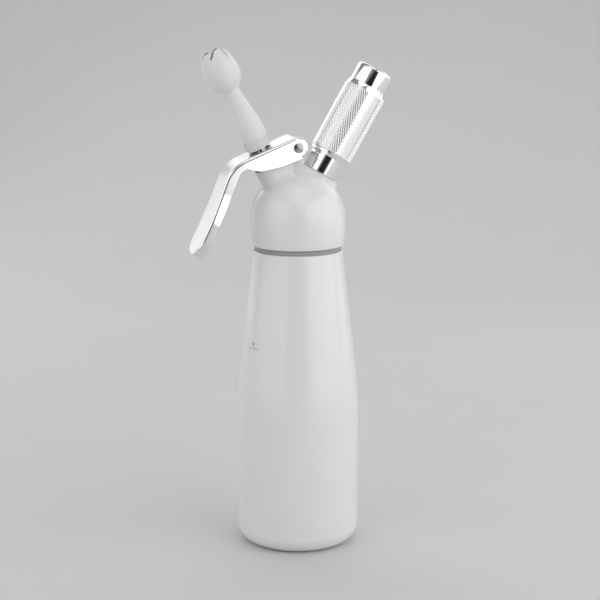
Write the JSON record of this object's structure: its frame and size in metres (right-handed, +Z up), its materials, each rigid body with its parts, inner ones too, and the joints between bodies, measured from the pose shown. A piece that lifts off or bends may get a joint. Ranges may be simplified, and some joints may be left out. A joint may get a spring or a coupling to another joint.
{
  "type": "whipped cream dispenser",
  "caption": "Bottle with a screw-on domed head, a squeeze lever that opens a leaning tulip nozzle, and a screw-on holder for a gas charger on the other side.",
  "frame": {"origin": "centre of the bottle's base, on the plane it stands on", "axes": "+Z up along the bottle's axis; XZ is the plane of symmetry, with the lever and nozzle towards -X and the charger holder towards +X; +Y along the lever's pivot"},
  "size_m": [0.1328, 0.08, 0.3256],
  "materials": {
    "lacquer": "gloss white lacquer on aluminium",
    "silicone_grey": "matt grey silicone",
    "silicone": "matt translucent silicone",
    "polished": "polished",
    "steel": "bright stainless",
    "nylon": "natural nylon",
    "brass": "nickel-plated brass",
    "rubber": "black nitrile rubber",
    "nozzle_white": "satin white plastic",
    "chrome": "bright chrome, knurled grip",
    "charger_steel": "zinc-plated steel",
    "sintered": "sintered bronze"
  },
  "bodies": {
    "bottle": {"bottle": "lacquer", "neck_band": "silicone_grey"},
    "head": {"head": "lacquer", "head_gasket": "silicone", "pivot_bush": "brass", "pivot_washer_near": "nylon", "pivot_washer_far": "nylon", "guide_bush": "nylon", "stem_o_ring": "rubber", "spring_washer": "steel", "valve_spring": "steel", "inlet_spigot": "brass", "pin_carrier": "brass", "piercing_pin": "steel", "charger_seal": "rubber", "inlet_filter": "sintered", "check_plug": "brass", "check_spring": "steel"},
    "lever": {"lever": "polished", "pivot_screw": "steel", "pivot_nut": "steel"},
    "valve": {"valve_stem": "steel", "valve_seal": "rubber", "seal_nut": "steel", "nozzle_adapter": "brass"},
    "nozzle": {"tulip_nozzle": "nozzle_white", "nozzle_seal": "silicone"},
    "holder": {"charger_holder": "chrome", "grip_sleeve": "chrome"},
    "charger": {"charger": "charger_steel"},
    "ball": {"check_ball": "steel"}
  },
  "joints": [
    {"name": "head_lift", "type": "slide", "parent": "bottle", "child": "head", "axis": [0, 0, 1], "range_m": [0, 0.04]},
    {"name": "lever_pivot", "type": "hinge", "parent": "head", "child": "lever", "pos_m": [-0.00285, 0, 0.262], "axis": [0, -1, 0], "range_deg": [0, 11], "stiffness_Nm_per_rad": 1.58, "springref_deg": -11.46},
    {"name": "valve_slide", "type": "slide", "parent": "head", "child": "valve", "axis": [0.454, 0, -0.891], "range_m": [0, 0.004], "deforming": ["valve_spring"]},
    {"name": "nozzle_lift", "type": "slide", "parent": "valve", "child": "nozzle", "axis": [-0.454, 0, 0.891], "range_m": [0, 0.03]},
    {"name": "holder_lift", "type": "slide", "parent": "head", "child": "holder", "axis": [0.5, 0, 0.866], "range_m": [0, 0.1]},
    {"name": "charger_lift", "type": "slide", "parent": "head", "child": "charger", "axis": [0.5, 0, 0.866], "range_m": [0, 0.02]},
    {"name": "ball_slide", "type": "slide", "parent": "head", "child": "ball", "axis": [-0.5, 0, -0.866], "range_m": [0, 0.0012], "stiffness_N_per_m": 60, "springref_m": -0.001, "deforming": ["check_spring"]}
  ],
  "couplings": [
    {"joint": "valve_slide", "follows": "lever_pivot", "m_per_rad": 0.0199},
    {"joint": "charger_lift", "follows": "holder_lift", "ratio": 0.2}
  ]
}
